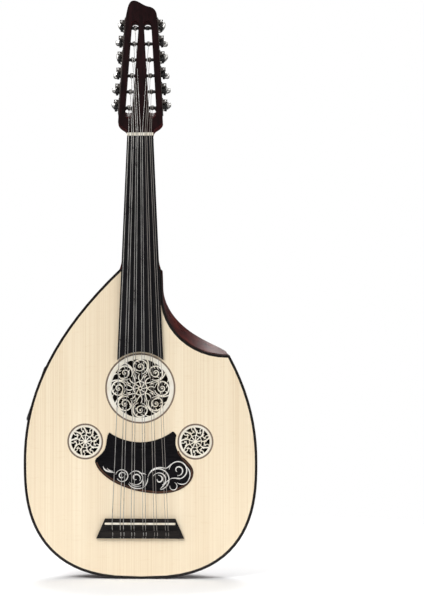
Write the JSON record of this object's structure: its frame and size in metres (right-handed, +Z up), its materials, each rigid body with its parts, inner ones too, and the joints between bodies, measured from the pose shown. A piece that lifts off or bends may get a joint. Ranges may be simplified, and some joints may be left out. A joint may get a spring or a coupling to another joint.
{
  "type": "oud",
  "caption": "Electro-acoustic cutaway oud with ribbed bowl, flat wooden back, carved rosettes, black fingerboard and a slotted headstock with geared tuners.",
  "frame": {"origin": "middle of the tail's lowest point in the plane of the soundboard's face", "axes": "+Z up along the neck to the headstock, +Y from the soundboard's face to the back, +X toward the treble side with the cutaway"},
  "size_m": [0.352, 0.0911, 0.882],
  "materials": {
    "spruce": "satin",
    "black_wood": "satin",
    "binding": "gloss",
    "rib_wood": "gloss lacquer",
    "purfling": "gloss lacquer",
    "panel_wood": "satin lacquer",
    "neck_wood": "gloss lacquer",
    "head_wood": "gloss lacquer",
    "pale_wood": "raw",
    "bone": "satin",
    "rosette_white": "satin",
    "rosette_ring": "satin",
    "guard_black": "satin",
    "inlay_white": "satin",
    "wound_steel": "wound",
    "nylon": "clear",
    "tuner_metal": "polished",
    "tuner_plate": "satin",
    "case_plastic": "matte",
    "plate_metal": "brushed",
    "knob_plastic": "matte",
    "battery_steel": "plain",
    "board_green": "matte",
    "jack_metal": "polished",
    "lead_rubber": "matte",
    "pickup_brass": "plain"
  },
  "bodies": {
    "root": {"soundboard": "spruce", "soundboard_binding": "binding", "soundboard_braces": "pale_wood", "bowl_ribs": "rib_wood", "rib_purfling": "purfling", "tail_cap": "rib_wood", "cutaway_side": "rib_wood", "back_panel_upper": "panel_wood", "back_panel_lower": "panel_wood", "end_blocks": "pale_wood", "neck": "neck_wood", "fingerboard": "black_wood", "nut": "bone", "headstock": "head_wood", "tuner_plates": "tuner_plate", "bridge": "black_wood", "saddle": "bone", "pickup_strip": "pickup_brass", "wound_strings": "wound_steel", "nylon_strings": "nylon", "main_rosette": "rosette_white", "small_rosettes": "rosette_white", "rosette_rings": "rosette_ring", "pickguard": "guard_black", "pickguard_inlay": "inlay_white", "preamp_case": "case_plastic", "preamp_plate": "plate_metal", "battery": "battery_steel", "preamp_board": "board_green", "output_jack": "jack_metal", "internal_leads": "lead_rubber"},
    "bass_key_1": {"bass_key_1": "tuner_metal"},
    "bass_roller_1": {"bass_roller_1": "tuner_metal"},
    "bass_key_2": {"bass_key_2": "tuner_metal"},
    "bass_roller_2": {"bass_roller_2": "tuner_metal"},
    "bass_key_3": {"bass_key_3": "tuner_metal"},
    "bass_roller_3": {"bass_roller_3": "tuner_metal"},
    "bass_key_4": {"bass_key_4": "tuner_metal"},
    "bass_roller_4": {"bass_roller_4": "tuner_metal"},
    "bass_key_5": {"bass_key_5": "tuner_metal"},
    "bass_roller_5": {"bass_roller_5": "tuner_metal"},
    "bass_key_6": {"bass_key_6": "tuner_metal"},
    "bass_roller_6": {"bass_roller_6": "tuner_metal"},
    "treble_key_1": {"treble_key_1": "tuner_metal"},
    "treble_roller_1": {"treble_roller_1": "tuner_metal"},
    "treble_key_2": {"treble_key_2": "tuner_metal"},
    "treble_roller_2": {"treble_roller_2": "tuner_metal"},
    "treble_key_3": {"treble_key_3": "tuner_metal"},
    "treble_roller_3": {"treble_roller_3": "tuner_metal"},
    "treble_key_4": {"treble_key_4": "tuner_metal"},
    "treble_roller_4": {"treble_roller_4": "tuner_metal"},
    "treble_key_5": {"treble_key_5": "tuner_metal"},
    "treble_roller_5": {"treble_roller_5": "tuner_metal"},
    "treble_key_6": {"treble_key_6": "tuner_metal"},
    "treble_roller_6": {"treble_roller_6": "tuner_metal"},
    "knob_volume": {"knob_volume": "knob_plastic"},
    "knob_bass": {"knob_bass": "knob_plastic"},
    "knob_treble": {"knob_treble": "knob_plastic"},
    "preamp_button": {"preamp_button": "knob_plastic"},
    "battery_door": {"battery_door": "case_plastic"}
  },
  "joints": [
    {"name": "bass_key_1_turn", "type": "hinge", "parent": "root", "child": "bass_key_1", "pos_m": [-0.03791, 0.0115, 0.72179], "axis": [0, 0.9744, -0.225], "continuous": true},
    {"name": "bass_roller_1_turn", "type": "hinge", "parent": "root", "child": "bass_roller_1", "pos_m": [0, 0.01844, 0.71187], "axis": [1, 0, 0], "continuous": true},
    {"name": "bass_key_2_turn", "type": "hinge", "parent": "root", "child": "bass_key_2", "pos_m": [-0.0364, 0.01734, 0.74712], "axis": [0, 0.9744, -0.225], "continuous": true},
    {"name": "bass_roller_2_turn", "type": "hinge", "parent": "root", "child": "bass_roller_2", "pos_m": [0, 0.02429, 0.73721], "axis": [1, 0, 0], "continuous": true},
    {"name": "bass_key_3_turn", "type": "hinge", "parent": "root", "child": "bass_key_3", "pos_m": [-0.0349, 0.02319, 0.77246], "axis": [0, 0.9744, -0.225], "continuous": true},
    {"name": "bass_roller_3_turn", "type": "hinge", "parent": "root", "child": "bass_roller_3", "pos_m": [0, 0.03014, 0.76254], "axis": [1, 0, 0], "continuous": true},
    {"name": "bass_key_4_turn", "type": "hinge", "parent": "root", "child": "bass_key_4", "pos_m": [-0.0334, 0.02904, 0.79779], "axis": [0, 0.9744, -0.225], "continuous": true},
    {"name": "bass_roller_4_turn", "type": "hinge", "parent": "root", "child": "bass_roller_4", "pos_m": [0, 0.03599, 0.78787], "axis": [1, 0, 0], "continuous": true},
    {"name": "bass_key_5_turn", "type": "hinge", "parent": "root", "child": "bass_key_5", "pos_m": [-0.03189, 0.03489, 0.82312], "axis": [0, 0.9744, -0.225], "continuous": true},
    {"name": "bass_roller_5_turn", "type": "hinge", "parent": "root", "child": "bass_roller_5", "pos_m": [0, 0.04184, 0.81321], "axis": [1, 0, 0], "continuous": true},
    {"name": "bass_key_6_turn", "type": "hinge", "parent": "root", "child": "bass_key_6", "pos_m": [-0.03039, 0.04074, 0.84846], "axis": [0, 0.9744, -0.225], "continuous": true},
    {"name": "bass_roller_6_turn", "type": "hinge", "parent": "root", "child": "bass_roller_6", "pos_m": [0, 0.04769, 0.83854], "axis": [1, 0, 0], "continuous": true},
    {"name": "treble_key_1_turn", "type": "hinge", "parent": "root", "child": "treble_key_1", "pos_m": [0.03791, 0.0115, 0.72179], "axis": [0, 0.9744, -0.225], "continuous": true},
    {"name": "treble_roller_1_turn", "type": "hinge", "parent": "root", "child": "treble_roller_1", "pos_m": [0, 0.01844, 0.71187], "axis": [1, 0, 0], "continuous": true},
    {"name": "treble_key_2_turn", "type": "hinge", "parent": "root", "child": "treble_key_2", "pos_m": [0.0364, 0.01734, 0.74712], "axis": [0, 0.9744, -0.225], "continuous": true},
    {"name": "treble_roller_2_turn", "type": "hinge", "parent": "root", "child": "treble_roller_2", "pos_m": [0, 0.02429, 0.73721], "axis": [1, 0, 0], "continuous": true},
    {"name": "treble_key_3_turn", "type": "hinge", "parent": "root", "child": "treble_key_3", "pos_m": [0.0349, 0.02319, 0.77246], "axis": [0, 0.9744, -0.225], "continuous": true},
    {"name": "treble_roller_3_turn", "type": "hinge", "parent": "root", "child": "treble_roller_3", "pos_m": [0, 0.03014, 0.76254], "axis": [1, 0, 0], "continuous": true},
    {"name": "treble_key_4_turn", "type": "hinge", "parent": "root", "child": "treble_key_4", "pos_m": [0.0334, 0.02904, 0.79779], "axis": [0, 0.9744, -0.225], "continuous": true},
    {"name": "treble_roller_4_turn", "type": "hinge", "parent": "root", "child": "treble_roller_4", "pos_m": [0, 0.03599, 0.78787], "axis": [1, 0, 0], "continuous": true},
    {"name": "treble_key_5_turn", "type": "hinge", "parent": "root", "child": "treble_key_5", "pos_m": [0.03189, 0.03489, 0.82312], "axis": [0, 0.9744, -0.225], "continuous": true},
    {"name": "treble_roller_5_turn", "type": "hinge", "parent": "root", "child": "treble_roller_5", "pos_m": [0, 0.04184, 0.81321], "axis": [1, 0, 0], "continuous": true},
    {"name": "treble_key_6_turn", "type": "hinge", "parent": "root", "child": "treble_key_6", "pos_m": [0.03039, 0.04074, 0.84846], "axis": [0, 0.9744, -0.225], "continuous": true},
    {"name": "treble_roller_6_turn", "type": "hinge", "parent": "root", "child": "treble_roller_6", "pos_m": [0, 0.04769, 0.83854], "axis": [1, 0, 0], "continuous": true},
    {"name": "knob_volume_turn", "type": "hinge", "parent": "root", "child": "knob_volume", "pos_m": [-0.14183, 0.03001, 0.29382], "axis": [-0.7842, 0.5574, 0.2728], "range_deg": [-140, 140]},
    {"name": "knob_bass_turn", "type": "hinge", "parent": "root", "child": "knob_bass", "pos_m": [-0.14726, 0.03001, 0.27823], "axis": [-0.7842, 0.5574, 0.2728], "range_deg": [-140, 140]},
    {"name": "knob_treble_turn", "type": "hinge", "parent": "root", "child": "knob_treble", "pos_m": [-0.15268, 0.03001, 0.26265], "axis": [-0.7842, 0.5574, 0.2728], "range_deg": [-140, 140]},
    {"name": "preamp_button_press", "type": "slide", "parent": "root", "child": "preamp_button", "axis": [0.7842, -0.5574, -0.2728], "range_m": [0, 0.0012], "stiffness_N_per_m": 300},
    {"name": "battery_door_swing", "type": "hinge", "parent": "root", "child": "battery_door", "pos_m": [-0.16214, 0.03045, 0.23746], "axis": [-0.5264, -0.8302, 0.1831], "range_deg": [0, 100]}
  ],
  "couplings": [
    {"joint": "bass_roller_1_turn", "follows": "bass_key_1_turn", "ratio": 0.071429},
    {"joint": "bass_roller_2_turn", "follows": "bass_key_2_turn", "ratio": 0.071429},
    {"joint": "bass_roller_3_turn", "follows": "bass_key_3_turn", "ratio": 0.071429},
    {"joint": "bass_roller_4_turn", "follows": "bass_key_4_turn", "ratio": 0.071429},
    {"joint": "bass_roller_5_turn", "follows": "bass_key_5_turn", "ratio": 0.071429},
    {"joint": "bass_roller_6_turn", "follows": "bass_key_6_turn", "ratio": 0.071429},
    {"joint": "treble_roller_1_turn", "follows": "treble_key_1_turn", "ratio": -0.071429},
    {"joint": "treble_roller_2_turn", "follows": "treble_key_2_turn", "ratio": -0.071429},
    {"joint": "treble_roller_3_turn", "follows": "treble_key_3_turn", "ratio": -0.071429},
    {"joint": "treble_roller_4_turn", "follows": "treble_key_4_turn", "ratio": -0.071429},
    {"joint": "treble_roller_5_turn", "follows": "treble_key_5_turn", "ratio": -0.071429},
    {"joint": "treble_roller_6_turn", "follows": "treble_key_6_turn", "ratio": -0.071429}
  ]
}
